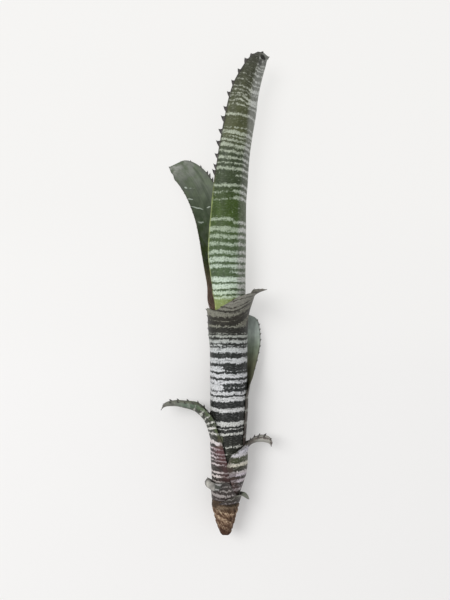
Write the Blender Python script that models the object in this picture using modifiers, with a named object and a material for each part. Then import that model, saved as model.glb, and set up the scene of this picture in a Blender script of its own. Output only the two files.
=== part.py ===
"""A banded, tube-shaped billbergia offset on its short stem, laid on its back.

The plant lies along +Y, with its stem at -Y and the tip of its tallest leaf at +Y.
+Z is up. The leaf sheaths are wrapped round each other and make a tube, and each
sheath grows out into its own blade. Every leaf is one open surface, lofted along the
leaf from arcs, with its marginal spines in its outline, and is thickened inwards.

Inside the script the plant stands on its growing axis: "height" is measured along the
axis from the cut end of the stem, x is to the right and z is towards the viewer. The
last step moves everything so that the origin is the middle of the underside.
"""

import math

import bmesh
import bpy
import numpy as np
from mathutils import Matrix, Vector

MM = 0.001

# Driving dimensions, in millimetres.
LEAF_THICKNESS = 0.62
SHEATH_PITCH = 0.90
SEAT_GAP = 0.30
FLOOR_DEPTH = 14.15
FLAT_REACH = 0.65
SPINE_BASE_SHARE = 0.19
SPINE_LEAN_DEGREES = 35.0

# Outer radius of the innermost sheath at each height. Every sheath further out is one
# pitch wider, and all of them have their rings of points at these same heights.
INNER_TUBE = (
    (24.5, 4.3), (26.5, 4.7), (28.5, 5.1), (30.5, 5.5), (32.5, 5.9), (34.5, 6.4),
    (36.5, 6.9), (38.5, 7.4), (42.0, 8.2), (46.0, 8.75), (52.0, 9.15), (60.0, 9.45),
    (70.0, 9.85), (80.0, 10.6), (90.0, 11.3), (100.0, 11.5), (110.0, 11.55),
    (122.0, 11.6), (134.0, 11.7), (146.0, 11.85), (158.0, 12.0), (170.0, 12.1),
)

# How far the growing axis lies to the left at the base, by height.
BASE_BEND = ((24.0, -2.4), (46.0, 0.0))

# The stem below the leaves: height and radius, with a low ridge at every leaf scar.
STEM_OUTLINE = (
    (0.0, 2.6), (1.6, 3.7), (4.6, 4.7), (5.2, 5.3), (8.4, 5.8), (9.0, 6.4),
    (12.4, 6.8), (13.0, 7.5), (16.6, 7.9), (17.2, 8.6), (20.4, 8.8), (21.0, 9.5),
    (23.2, 9.6), (24.0, 9.15),
)
STEM_CORE_TOP = ((40.5, 5.3), (42.2, 3.2))
STEM_SIDES = 24


def smooth(knots, values, at):
    """Monotone cubic curve through the values, which never overshoots them."""
    knots = np.asarray(knots, float)
    values = np.asarray(values, float)
    flat = values.ndim == 1
    if flat:
        values = values[:, None]
    steps = np.diff(knots)
    slopes = np.diff(values, axis=0) / steps[:, None]
    tangents = np.zeros_like(values)
    tangents[0] = slopes[0]
    tangents[-1] = slopes[-1]
    for index in range(1, len(knots) - 1):
        before = slopes[index - 1]
        after = slopes[index]
        agree = before * after > 0.0
        total = np.where(agree, before + after, 1.0)
        tangents[index] = np.where(agree, 2.0 * before * after / total, 0.0)
    at = np.clip(np.asarray(at, float), knots[0], knots[-1])
    cell = np.clip(np.searchsorted(knots, at, side="right") - 1, 0, len(steps) - 1)
    share = ((at - knots[cell]) / steps[cell])[:, None]
    width = steps[cell][:, None]
    result = (
        (2 * share**3 - 3 * share**2 + 1) * values[cell]
        + (share**3 - 2 * share**2 + share) * width * tangents[cell]
        + (3 * share**2 - 2 * share**3) * values[cell + 1]
        + (share**3 - share**2) * width * tangents[cell + 1]
    )
    return result[:, 0] if flat else result


def tube_radius(height, rank):
    """Outer radius of the sheath of this rank, 0 being the innermost."""
    heights, radii = zip(*INNER_TUBE)
    return float(np.interp(height, heights, radii)) + rank * SHEATH_PITCH


def axis_point(height):
    """Point of the growing axis at a height."""
    heights, shifts = zip(*BASE_BEND)
    return np.array((np.interp(height, heights, shifts), height, 0.0))


def azimuth(degrees):
    """Direction across the axis: 0 is right, 90 is towards the viewer, 180 is left."""
    angle = math.radians(degrees)
    return np.array((math.cos(angle), 0.0, math.sin(angle)))


def unit(vector):
    return vector / np.linalg.norm(vector)


def around(height, centre, radius, facing, ends, lean):
    """Blade station whose arc is given by its centre and by where its margins lie."""
    point = np.array((centre[0], height, centre[1])) + azimuth(facing) * radius
    left = math.radians(ends[0] - facing) * radius
    right = math.radians(facing - ends[1]) * radius
    return tuple(point), lean, radius, facing, left, right


def sheath_rows(leaf):
    """Rows of the sheath: point, plane normal, outward normal, radius, half widths."""
    rows = []
    outward = azimuth(leaf["facing"])
    stops, left, right = zip(*leaf["sheath"])
    for height, _ in INNER_TUBE:
        if stops[0] - 0.01 <= height <= stops[-1] + 0.01:
            radius = tube_radius(height, leaf["rank"])
            rows.append({
                "point": axis_point(height) + outward * radius,
                "along": np.array((0.0, 1.0, 0.0)),
                "outward": outward,
                "radius": radius,
                "left": math.radians(np.interp(height, stops, left)) * radius,
                "right": math.radians(np.interp(height, stops, right)) * radius,
            })
    return rows


def blade_rows(leaf, last):
    """Rows of the blade, from smooth curves through its stations."""
    stations = leaf["blade"]
    points = [last["point"]] + [np.array(station[0], float) for station in stations]
    leans = [last["along"]] + [unit(np.array(station[1], float)) for station in stations]
    radii = [last["radius"]] + [station[2] for station in stations]
    facings = [leaf["facing"]] + [station[3] for station in stations]
    lefts = [last["left"]] + [station[4] for station in stations]
    rights = [last["right"]] + [station[5] for station in stations]
    reach = np.concatenate(([0.0], np.cumsum([
        np.linalg.norm(b - a) for a, b in zip(points[:-1], points[1:])])))
    at = np.linspace(0.0, reach[-1], leaf["blade_rows"] + 1)[1:]
    points = smooth(reach, points, at)
    leans = smooth(reach, leans, at)
    radii = smooth(reach, radii, at)
    facings = smooth(reach, facings, at)
    lefts = smooth(reach, lefts, at)
    rights = smooth(reach, rights, at)
    rows = []
    outward = last["outward"]
    turned = leaf["facing"]
    for index in range(len(at)):
        along = unit(leans[index])
        outward = unit(outward - along * np.dot(outward, along))
        twist = Matrix.Rotation(math.radians(turned - facings[index]), 3, Vector(along))
        outward = np.array(twist @ Vector(outward))
        turned = facings[index]
        rows.append({
            "point": points[index], "along": along, "outward": outward,
            "radius": radii[index], "left": lefts[index], "right": rights[index],
        })
    return rows


def section(row, columns):
    """Points of one arc across the leaf, from its left margin to its right one."""
    across = np.cross(row["along"], row["outward"])
    angles = np.linspace(-row["left"], row["right"], columns + 1) / row["radius"]
    return [
        row["point"]
        + across * row["radius"] * math.sin(angle)
        - row["outward"] * row["radius"] * (1.0 - math.cos(angle))
        for angle in angles
    ]


def spine_tip(start, end, side, length):
    """Point of a spine that grows from a stretch of margin and leans to the leaf's tip."""
    middle = (start + end) / 2.0
    out = unit(side)
    forward = unit(end - start)
    lean = math.radians(SPINE_LEAN_DEGREES)
    return middle + length * (out * math.cos(lean) + forward * math.sin(lean))


def settle(point):
    """Lets what would hang below the surface lie flat on it."""
    if point[2] < -FLOOR_DEPTH:
        point = np.array((point[0], point[1], -FLOOR_DEPTH))
    return point


def rest_flat(point, stretch):
    """Flattens the underside of a sheath along a stretch of its length."""
    within = stretch[0] <= point[1] <= stretch[1]
    if within and point[2] < FLAT_REACH - FLOOR_DEPTH:
        point = np.array((point[0], point[1], -FLOOR_DEPTH))
    return point


def leaf_surface(leaf):
    """Open outer surface of a leaf, as a bmesh in millimetres."""
    rows = sheath_rows(leaf)
    rows += blade_rows(leaf, rows[-1])
    columns = leaf["columns"]
    grid = [[settle(point) for point in section(row, columns)] for row in rows]
    if "flat" in leaf:
        grid = [[rest_flat(point, leaf["flat"]) for point in line] for line in grid]
    mesh = bmesh.new()
    verts = [[mesh.verts.new(point) for point in line] for line in grid]
    spiny = {"left": leaf.get("left_spines", ()), "right": leaf.get("right_spines", ())}
    first_blade_row = len(rows) - leaf["blade_rows"]
    for j in range(len(rows) - 1):
        share = (j + 1 - first_blade_row) / leaf["blade_rows"]
        for i in range(columns):
            near, far = verts[j], verts[j + 1]
            margin = {0: "left", columns - 1: "right"}.get(i)
            toothed = margin and spiny[margin] and spiny[margin][0] <= share <= spiny[margin][1]
            if not toothed:
                rising = (near[i].co - far[i + 1].co).length
                falling = (near[i + 1].co - far[i].co).length
                if rising <= falling:
                    mesh.faces.new((near[i], near[i + 1], far[i + 1]))
                    mesh.faces.new((near[i], far[i + 1], far[i]))
                else:
                    mesh.faces.new((near[i], near[i + 1], far[i]))
                    mesh.faces.new((near[i + 1], far[i + 1], far[i]))
                continue
            edge = i if margin == "left" else i + 1
            inner = i + 1 if margin == "left" else i
            low, high = grid[j][edge], grid[j + 1][edge]
            start = low + (high - low) * (0.5 - SPINE_BASE_SHARE)
            end = low + (high - low) * (0.5 + SPINE_BASE_SHARE)
            side = grid[j][edge] - grid[j][inner] + grid[j + 1][edge] - grid[j + 1][inner]
            tip = settle(spine_tip(start, end, side, leaf["spine"]))
            start, end, tip = (mesh.verts.new(point) for point in (start, end, tip))
            a, b, c, d = near[edge], far[edge], near[inner], far[inner]
            fans = ((a, c, start), (start, c, end), (c, d, end), (end, d, b), (start, end, tip))
            for fan in fans:
                mesh.faces.new(fan if margin == "left" else fan[::-1])
    tip = mesh.verts.new(settle(np.array(leaf["tip"], float)))
    for i in range(columns):
        mesh.faces.new((verts[-1][i], verts[-1][i + 1], tip))
    return mesh


def material(name, colour, roughness):
    """Principled material in one plain colour."""
    surface = bpy.data.materials.new(name)
    surface.use_nodes = True
    shader = surface.node_tree.nodes["Principled BSDF"]
    shader.inputs["Base Color"].default_value = (*colour, 1.0)
    shader.inputs["Roughness"].default_value = roughness
    shader.inputs["Metallic"].default_value = 0.0
    return surface


def build_leaf(leaf, collection):
    """One leaf as a closed solid: its surface, thickened towards the inside."""
    surface = leaf_surface(leaf)
    surface.transform(Matrix.Scale(MM, 4))
    mesh = bpy.data.meshes.new(leaf["name"])
    surface.to_mesh(mesh)
    surface.free()
    mesh.shade_smooth()
    mesh.set_sharp_from_angle(angle=math.radians(40.0))
    mesh.materials.append(material(leaf["name"], leaf["colour"], 0.45))
    part = bpy.data.objects.new(leaf["name"], mesh)
    collection.objects.link(part)
    shell = part.modifiers.new("thickness", "SOLIDIFY")
    shell.thickness = LEAF_THICKNESS * MM
    shell.offset = -1.0
    shell.use_even_offset = True
    return part


def build_stem(leaves, collection):
    """Stem as rings round the axis: scarred below, and a core inside the sheaths above."""
    core = [
        (leaf["sheath"][0][0], tube_radius(leaf["sheath"][0][0], leaf["rank"])
         - LEAF_THICKNESS - SEAT_GAP)
        for leaf in sorted(leaves, key=lambda leaf: -leaf["rank"])
    ]
    outline = list(STEM_OUTLINE) + core + list(STEM_CORE_TOP)
    turns = [azimuth(side * 360.0 / STEM_SIDES) for side in range(STEM_SIDES)]
    surface = bmesh.new()
    rings = [[surface.verts.new((axis_point(height) + turn * radius) * MM) for turn in turns]
             for height, radius in outline]
    cut_end = surface.verts.new(axis_point(outline[0][0]) * MM)
    core_end = surface.verts.new(axis_point(outline[-1][0]) * MM)
    for side in range(STEM_SIDES):
        after = (side + 1) % STEM_SIDES
        for low, high in zip(rings[:-1], rings[1:]):
            surface.faces.new((low[side], high[side], high[after], low[after]))
        surface.faces.new((cut_end, rings[0][side], rings[0][after]))
        surface.faces.new((core_end, rings[-1][after], rings[-1][side]))
    mesh = bpy.data.meshes.new("stem")
    surface.to_mesh(mesh)
    surface.free()
    mesh.shade_smooth()
    mesh.set_sharp_from_angle(angle=math.radians(40.0))
    mesh.materials.append(material("stem", (0.16, 0.105, 0.06), 0.85))
    stem = bpy.data.objects.new("stem", mesh)
    collection.objects.link(stem)
    return stem


def tall_leaf():
    """The banded leaf that makes the top of the plant, a deep channel to its tip."""
    return {
        "name": "leaf_8_tall", "rank": 0, "facing": 45.0, "columns": 15, "blade_rows": 22,
        "colour": (0.11, 0.16, 0.07), "spine": 3.5,
        "left_spines": (0.50, 0.97), "right_spines": (0.50, 0.97),
        "sheath": ((38.5, 150.0, 150.0), (60.0, 140.0, 140.0), (134.0, 100.0, 110.0),
                   (158.0, 94.0, 98.0)),
        "blade": (
            around(167.0, (0.1, 0.0), 12.05, 45.0, (148.0, -50.0), (0.0, 1.0, 0.0)),
            around(176.4, (0.0, 0.0), 12.2, 45.0, (165.0, -45.0), (0.0, 1.0, 0.0)),
            around(189.0, (-1.1, -1.0), 13.3, 44.0, (158.0, -40.0), (0.0, 1.0, 0.0)),
            around(201.6, (-2.0, -2.0), 14.6, 43.0, (151.0, -35.0), (0.0, 1.0, 0.0)),
            around(218.0, (-2.1, -2.3), 14.8, 40.0, (143.0, -35.0), (0.02, 1.0, 0.0)),
            around(236.0, (-1.7, -2.0), 14.4, 38.0, (137.0, -38.0), (0.04, 1.0, 0.0)),
            around(252.0, (-0.6, -1.8), 14.4, 36.0, (133.0, -40.0), (0.08, 1.0, 0.0)),
            around(270.0, (1.0, -1.6), 14.0, 33.0, (128.0, -42.0), (0.12, 1.0, 0.0)),
            around(287.6, (3.6, -1.4), 13.8, 30.0, (126.0, -45.0), (0.15, 1.0, 0.0)),
            around(301.7, (6.4, -1.0), 13.4, 28.0, (127.0, -45.0), (0.18, 1.0, 0.0)),
            around(316.0, (9.4, -0.3), 12.2, 25.0, (126.0, -45.0), (0.22, 1.0, 0.0)),
            around(328.5, (14.6, 0.8), 9.8, 22.0, (127.0, -45.0), (0.3, 1.0, 0.0)),
            around(335.8, (18.7, 1.8), 7.8, 20.0, (129.0, -40.0), (0.4, 1.0, 0.0)),
            around(340.6, (23.0, 3.0), 4.9, 18.0, (132.0, -35.0), (0.6, 1.0, 0.0)),
        ),
        "tip": (28.9, 341.9, 3.4),
    }


def back_left_leaf():
    """The broad plain blade at the upper left, which shows its inner face."""
    return {
        "name": "leaf_7_back_left", "rank": 1, "facing": 215.0, "columns": 14,
        "blade_rows": 22, "colour": (0.10, 0.13, 0.09), "spine": 1.6,
        "left_spines": (0.34, 0.98), "right_spines": (0.15, 0.98),
        "sheath": ((36.5, 150.0, 150.0), (60.0, 140.0, 130.0), (134.0, 110.0, 75.0),
                   (146.0, 102.0, 66.0)),
        "blade": (
            around(160.0, (-0.4, -0.3), 13.05, 217.0, (309.0, 146.0), (0.0, 1.0, 0.0)),
            around(168.5, (-1.3, 0.0), 14.0, 219.0, (299.0, 167.0), (0.0, 1.0, -0.02)),
            ((-11.6, 177.0, -8.3), (0.0, 1.0, -0.03), 14.6, 222.0, 17.5, 12.5),
            ((-11.2, 192.0, -9.0), (0.0, 1.0, -0.05), 17.0, 235.0, 15.0, 12.0),
            ((-11.6, 208.0, -9.8), (-0.12, 1.0, -0.05), 19.0, 247.0, 14.0, 12.0),
            ((-13.4, 224.0, -10.8), (-0.28, 1.0, -0.07), 20.0, 256.0, 14.0, 12.0),
            ((-17.6, 239.5, -11.8), (-0.45, 1.0, -0.07), 20.0, 262.0, 13.5, 12.0),
            ((-24.0, 253.0, -12.8), (-0.65, 1.0, -0.06), 20.0, 266.0, 12.5, 11.5),
            ((-31.0, 263.0, -14.2), (-0.8, 1.0, -0.04), 18.0, 270.0, 10.0, 11.5),
            ((-37.6, 267.6, -14.3), (-1.0, 0.7, 0.0), 16.0, 270.0, 5.0, 7.5),
        ),
        "tip": (-44.0, 267.2, -13.9),
    }


def front_leaf():
    """The sheath that makes most of the tube, opening into a short beak-like blade."""
    return {
        "name": "leaf_6_front_collar", "rank": 2, "facing": 30.0, "columns": 17,
        "blade_rows": 16, "colour": (0.08, 0.085, 0.075), "spine": 1.8,
        "left_spines": (0.3, 0.97), "right_spines": (0.45, 0.97),
        "sheath": ((34.5, 165.0, 150.0), (60.0, 165.0, 150.0), (134.0, 160.0, 110.0)),
        "blade": (
            around(142.0, (-0.35, 0.0), 14.0, 30.0, (188.0, -76.0), (0.0, 1.0, 0.02)),
            around(150.0, (-0.5, 0.2), 14.4, 30.0, (188.0, -70.0), (0.0, 1.0, 0.08)),
            around(156.5, (-0.3, 0.8), 14.9, 30.0, (186.0, -62.0), (0.0, 1.0, 0.14)),
            around(161.2, (0.1, 1.6), 15.6, 30.0, (181.0, -54.0), (0.0, 1.0, 0.20)),
            around(162.2, (0.5, 2.2), 15.6, 30.0, (131.0, -51.0), (0.0, 1.0, 0.24)),
            ((15.4, 166.3, 12.6), (0.05, 1.0, 0.35), 15.2, 30.0, 21.5, 17.0),
            ((17.2, 170.6, 16.4), (0.35, 1.0, 0.60), 11.0, 30.0, 12.5, 11.0),
            ((20.2, 173.2, 19.6), (0.8, 1.0, 0.8), 7.0, 30.0, 6.0, 5.5),
            ((23.4, 174.6, 21.8), (1.0, 0.7, 0.6), 4.0, 30.0, 3.0, 3.0),
        ),
        "tip": (26.0, 175.5, 22.8),
    }


def back_right_leaf():
    """The sheath round the back of the tube, with a broad round blade."""
    return {
        "name": "leaf_5_back_right", "rank": 3, "facing": 320.0, "columns": 15,
        "blade_rows": 10, "colour": (0.11, 0.14, 0.12), "spine": 1.2,
        "left_spines": (0.30, 0.95), "right_spines": (0.30, 0.95),
        "flat": (74.0, 111.0),
        "sheath": ((32.5, 130.0, 150.0), (52.0, 72.0, 130.0), (70.0, 72.0, 120.0),
                   (80.0, 72.0, 112.0), (90.0, 72.0, 92.0), (100.0, 71.0, 72.0)),
        "blade": (
            ((11.1, 108.0, -9.8), (0.0, 1.0, -0.03), 15.3, 314.0, 17.0, 11.5),
            ((11.5, 116.0, -11.2), (0.0, 1.0, -0.05), 15.6, 302.0, 12.5, 8.0),
            ((12.3, 126.0, -12.6), (0.0, 1.0, -0.08), 17.6, 292.0, 12.5, 8.0),
            ((12.8, 136.0, -13.3), (0.0, 1.0, -0.06), 18.5, 284.0, 12.8, 6.5),
            ((13.0, 145.0, -13.8), (0.0, 1.0, -0.03), 19.0, 282.0, 12.0, 7.0),
            ((13.0, 151.5, -14.0), (0.0, 1.0, 0.0), 18.0, 282.0, 10.8, 6.0),
            ((13.6, 155.2, -14.1), (0.0, 1.0, 0.0), 16.0, 282.0, 7.4, 4.9),
        ),
        "tip": (15.0, 157.6, -14.0),
    }


def arching_left_leaf():
    """A sheath on the left with the longer of the two small arching blades."""
    return {
        "name": "leaf_4_arching_left", "rank": 4, "facing": 182.0, "columns": 14,
        "blade_rows": 13, "colour": (0.15, 0.17, 0.13), "spine": 1.9,
        "left_spines": (0.36, 0.97), "right_spines": (0.36, 0.97),
        "sheath": ((30.5, 130.0, 125.0), (38.5, 115.0, 103.0), (52.0, 92.0, 89.0),
                   (60.0, 76.0, 80.0), (70.0, 60.0, 69.0)),
        "blade": (
            ((-15.0, 75.5, 0.2), (-0.2, 1.0, 0.0), 13.4, 182.0, 12.0, 15.0),
            ((-16.8, 80.5, 0.4), (-0.5, 1.0, 0.0), 11.0, 182.0, 10.5, 13.8),
            ((-20.2, 85.2, 0.6), (-1.0, 0.9, 0.0), 8.2, 182.0, 9.5, 11.5),
            ((-25.4, 89.2, 0.8), (-1.0, 0.45, 0.0), 6.3, 182.0, 8.8, 9.5),
            ((-32.0, 91.1, 1.0), (-1.0, 0.2, 0.0), 5.4, 182.0, 7.2, 7.4),
            ((-38.5, 92.3, 1.0), (-1.0, 0.05, 0.0), 4.6, 182.0, 6.0, 6.0),
            ((-43.5, 92.2, 1.0), (-1.0, -0.25, 0.0), 3.8, 182.0, 4.8, 4.8),
            ((-46.8, 91.2, 1.0), (-0.8, -0.6, 0.0), 2.4, 182.0, 2.4, 2.4),
        ),
        "tip": (-48.4, 89.4, 1.0),
    }


def arching_right_leaf():
    """A sheath on the right with the shorter arching blade."""
    return {
        "name": "leaf_3_arching_right", "rank": 5, "facing": 0.0, "columns": 14,
        "blade_rows": 11, "colour": (0.17, 0.17, 0.14), "spine": 1.5,
        "left_spines": (0.40, 0.97), "right_spines": (0.40, 0.97),
        "sheath": ((28.5, 70.0, 130.0), (38.5, 76.0, 110.0), (46.0, 88.0, 105.0),
                   (52.0, 96.0, 100.0), (60.0, 82.0, 82.0)),
        "blade": (
            ((14.2, 61.8, 0.0), (0.3, 1.0, 0.0), 12.6, 0.0, 12.8, 13.5),
            ((15.0, 63.6, 0.1), (0.8, 1.0, 0.0), 8.0, 0.0, 8.2, 7.2),
            ((16.9, 65.1, 0.2), (1.0, 0.75, 0.0), 5.4, 0.0, 6.2, 5.1),
            ((19.9, 66.2, 0.3), (1.0, 0.25, 0.0), 4.6, 0.0, 6.5, 5.7),
            ((23.7, 66.6, 0.4), (1.0, -0.05, 0.0), 4.4, 0.0, 6.9, 6.6),
            ((27.2, 66.0, 0.4), (1.0, -0.35, 0.0), 4.2, 0.0, 6.4, 6.4),
            ((29.6, 64.8, 0.4), (0.8, -1.0, 0.0), 3.2, 0.0, 4.0, 4.0),
        ),
        "tip": (30.6, 63.2, 0.4),
    }


def ear_leaf():
    """A short sheath with a small rolled back tip, like an ear, to the left."""
    return {
        "name": "leaf_2_low_left_ear", "rank": 6, "facing": 133.0, "columns": 14,
        "blade_rows": 6, "colour": (0.22, 0.22, 0.20), "spine": 0.9,
        "left_spines": (0.5, 0.97), "right_spines": (0.75, 0.97),
        "sheath": ((26.5, 140.0, 95.0), (30.5, 130.0, 85.0), (34.5, 95.0, 64.0)),
        "blade": (
            ((-9.5, 37.6, 9.4), (-0.2, 1.0, 0.22), 13.0, 133.0, 12.8, 12.0),
            ((-10.1, 39.3, 10.1), (-0.68, 0.6, 0.73), 17.0, 133.0, 8.6, 9.6),
            ((-10.7, 39.6, 10.9), (-0.68, -0.45, 0.73), 24.0, 133.0, 7.4, 9.0),
            ((-11.1, 38.4, 11.5), (-0.25, -1.0, 0.27), 30.0, 133.0, 7.0, 8.8),
            ((-11.2, 36.8, 11.6), (-0.03, -1.0, 0.03), 30.0, 133.0, 5.6, 7.4),
        ),
        "tip": (-11.2, 34.8, 11.6),
    }


def lowest_leaf():
    """The lowest sheath, whose small pointed tip spreads to the lower right."""
    return {
        "name": "leaf_1_lowest_right", "rank": 7, "facing": 20.0, "columns": 14,
        "blade_rows": 6, "colour": (0.20, 0.21, 0.17), "spine": 0.8,
        "sheath": ((24.5, 100.0, 100.0), (26.5, 82.0, 82.0), (28.5, 62.0, 62.0)),
        "blade": (
            ((9.5, 29.4, 4.1), (0.5, 1.0, 0.18), 11.5, 20.0, 7.4, 5.4),
            ((10.5, 29.6, 4.4), (0.94, 0.0, 0.34), 12.0, 20.0, 5.8, 3.8),
            ((12.0, 29.0, 4.8), (0.94, -0.5, 0.34), 14.0, 20.0, 3.8, 2.8),
            ((13.3, 27.9, 5.2), (0.94, -0.7, 0.34), 14.0, 20.0, 2.2, 1.8),
        ),
        "tip": (14.5, 26.7, 5.4),
    }


def set_origin_below(parts):
    """Moves every mesh so that the world origin is the middle of the underside."""
    depsgraph = bpy.context.evaluated_depsgraph_get()
    corners = []
    for part in parts:
        shape = part.evaluated_get(depsgraph).to_mesh()
        corners += [vertex.co.copy() for vertex in shape.vertices]
    low = Vector([min(corner[axis] for corner in corners) for axis in range(3)])
    high = Vector([max(corner[axis] for corner in corners) for axis in range(3)])
    shift = Vector((-(low.x + high.x) / 2.0, -(low.y + high.y) / 2.0, -low.z))
    for part in parts:
        part.location = shift


def main():
    for old in list(bpy.data.objects):
        bpy.data.objects.remove(old, do_unlink=True)
    collection = bpy.data.collections.new("billbergia")
    bpy.context.scene.collection.children.link(collection)
    leaves = [
        lowest_leaf(), ear_leaf(), arching_right_leaf(), arching_left_leaf(),
        back_right_leaf(), front_leaf(), back_left_leaf(), tall_leaf(),
    ]
    parts = [build_stem(leaves, collection)]
    parts += [build_leaf(leaf, collection) for leaf in leaves]
    bpy.context.view_layer.update()
    set_origin_below(parts)


main()
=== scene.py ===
"""Looks of a banded, tube-shaped billbergia offset that lies on its back.

Every leaf of the frame is replaced by a finer one of the same form. The leaf's surface is
lofted from arcs along its length, as in the frame, and has a rounded rim, hooked spines and a
mucro. The bands are scurf, laid across the leaf by lists of heights and frayed by noise.

Leaves are measured in millimetres on the plant's own axis: "height" runs along the axis from
the cut end of the stem, x is to the right and z is towards the viewer. The frame's stem says
where that axis lies in the row frame. Colours are red, green and blue display values from 0
to 255, and a colour or a level that changes along a line is a dict of place and value.
"""

import math

import bpy
import numpy as np
from mathutils import Matrix, Vector


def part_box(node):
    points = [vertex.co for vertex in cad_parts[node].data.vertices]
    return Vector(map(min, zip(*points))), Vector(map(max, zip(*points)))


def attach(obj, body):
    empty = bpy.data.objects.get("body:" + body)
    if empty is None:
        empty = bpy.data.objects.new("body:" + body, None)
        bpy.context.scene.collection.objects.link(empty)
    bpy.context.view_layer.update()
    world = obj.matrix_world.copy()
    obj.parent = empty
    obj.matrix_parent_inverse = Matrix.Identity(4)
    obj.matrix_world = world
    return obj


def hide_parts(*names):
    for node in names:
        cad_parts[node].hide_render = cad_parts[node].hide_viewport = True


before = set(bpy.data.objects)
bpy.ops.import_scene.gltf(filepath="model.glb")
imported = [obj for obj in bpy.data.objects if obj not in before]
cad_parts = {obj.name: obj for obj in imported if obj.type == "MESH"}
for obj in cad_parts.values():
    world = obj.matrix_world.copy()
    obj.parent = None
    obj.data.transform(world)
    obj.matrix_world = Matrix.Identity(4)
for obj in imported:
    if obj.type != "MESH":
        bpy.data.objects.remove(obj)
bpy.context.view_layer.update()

MM = 0.001

# How far the growing axis lies to the left at the base, by height, in millimetres.
BASE_BEND = ((24, -2.4), (46, 0))

# The stem's box gives the plant's axis and the height of its cut end.
STEM_LOW, STEM_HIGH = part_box("stem")
AXIS = Vector(((STEM_LOW.x + STEM_HIGH.x) / 2 - BASE_BEND[0][1] * MM, STEM_LOW.y,
               (STEM_LOW.z + STEM_HIGH.z) / 2))

# Form of the leaves, in millimetres, as in the frame. A leaf thins out near its margins,
# by a power of the distance from them.
LEAF_THICKNESS = 0.62
MARGIN_THICKNESS = 0.30
MARGIN_TAPER = 5.0
TAPER_POWER = 0.7
SHEATH_PITCH = 0.90
FLOOR_DEPTH = AXIS.z / MM
TIP_WIDTH = 0.12

# How finely the leaves are lofted, and how far their rounded rims stand out.
ROW_PITCH = 1.1
COLUMNS = 44
RIM_BULGE = 0.10

# Spines, in millimetres but for the shares. They shrink towards the leaf's tip, to the
# least share. The bend is what a spine loses of its length by bending, and the hook how far
# its point moves towards the leaf's tip. The powers say how fast it tapers to its point.
SPINE_RINGS = 6
SPINE_SIDES = 8
SPINE_SINK = 0.35
SPINE_BASE_SHARE = 0.5
SPINE_THICKNESS = 0.26
SPINE_SIZES = (0.85, 1.1)
SPINE_HOOKS = (0.45, 0.7)
SPINE_BEND = 0.15
HOOK_POWER = 1.6
WIDTH_POWER = 1.15
THICKNESS_POWER = 0.8
POINT_WIDTH = 0.06
POINT_THICKNESS = 0.03
LEAST_SPINE = 0.3
SMALL_SPINES_REACH = 6.0
LAST_SPINE_GAP = 1.2

# Mucro, the leaf's own point: its half width, its half thickness and its hook.
MUCRO_SHAPE = (0.45, 0.3, 0.1)

# Radius of the innermost sheath, by height.
INNER_TUBE = (
    (24.5, 4.3), (26.5, 4.7), (28.5, 5.1), (30.5, 5.5), (32.5, 5.9), (34.5, 6.4),
    (36.5, 6.9), (38.5, 7.4), (42, 8.2), (46, 8.75), (52, 9.15), (60, 9.45), (70, 9.85),
    (80, 10.6), (90, 11.3), (100, 11.5), (110, 11.55), (122, 11.6), (134, 11.7),
    (146, 11.85), (158, 12), (170, 12.1),
)

# The stem below the leaves: height and radius, with a low ridge at every leaf scar.
STEM_OUTLINE = (
    (0, 0.2), (0.2, 2.6), (1.6, 3.7), (4.6, 4.7), (5.2, 5.3), (8.4, 5.8), (9, 6.4),
    (12.4, 6.8), (13, 7.5), (16.6, 7.9), (17.2, 8.6), (20.4, 8.8), (21, 9.5),
    (23.2, 9.6), (24, 9.15),
)
STEM_CORE_TOP = ((40.5, 5.3), (42.2, 3.2), (42.8, 0.2))
SEAT_GAP = 0.30
STEM_SIDES = 180
STEM_ROW_PITCH = 0.25
GRAIN_RADIUS = 8.0
RIB_WAVES = (5, 9, 14, 22, 31, 43, 57)
RIB_HEIGHTS = (0.05, 0.14)
STEM_DRAWS = 20

# Sine waves: size, turns and start of how far the rings of the stem wander along it, and
# size, rate and start of how the edges of its old scales are torn.
WANDER_WAVES = ((0.5, 1, 0.6), (0.35, 2, 2))
TORN_WAVES = ((0.35, 0.31, 1), (0.2, 0.83, 2))

# Remains of old scales on the stem: height and slope of the torn edge, azimuth, half reach.
STEM_SCALES = (
    (22.6, 0.8, 60, 70), (21, -1.2, 150, 60), (20.4, 1, 250, 80), (18.6, 3.6, 95, 55),
    (17.4, -2, 25, 40), (15.8, 4.6, 130, 60), (14.6, 3, 220, 70), (12.8, 5.2, 90, 50),
    (12, -2.4, 320, 60), (10.6, 5.6, 75, 48), (9.4, 3, 170, 50), (7.8, 5, 100, 50),
    (6.4, -2, 260, 80), (4.6, 3.6, 60, 60),
)
SCALE_LIFT = 0.55
SCALE_FADE = 1.6
SCALE_SIDE_FADE = 8.0

# Softness in millimetres: of a band's edges, of the sides where a leaf's bands differ, and of
# the colours of a leaf's greyer right side, which are partly painted sheen. An oval ends and
# is full at these squares of its reach. Scurf begins where bands and noise together reach its
# level.
BAND_SOFTNESS = 0.8
SIDE_FADE = 1.5
FLANK_FADE = 2.2
SPOT_EDGE = (1.5, 0.3)
SCURF_LEVEL = 0.58

# Depth of the skins' relief, in millimetres, how many stops one ramp takes, and how far
# noise strays from its middle.
BUMP_DEPTH = 0.25
STOPS_A_RAMP = 28
NOISE_SPREAD = 0.25

# Camera above the plant, at the photograph's framing, in millimetres from the cut end.
CAMERA_PLACE = Vector((-2.6, 168.5, 430.0))
HALF_FRAME = 216.0
SENSOR = 36.0

# Floor and light, in metres.
FLOOR_HALF = 3.0
FLOOR_DROP = 0.0002
LAMP_PLACE = Vector((-1.1, 0.55, 1.8))
LAMP_SIZE = 1.3
LAMP_ENERGY = 25.5
SURROUNDINGS = 0.63

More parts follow.
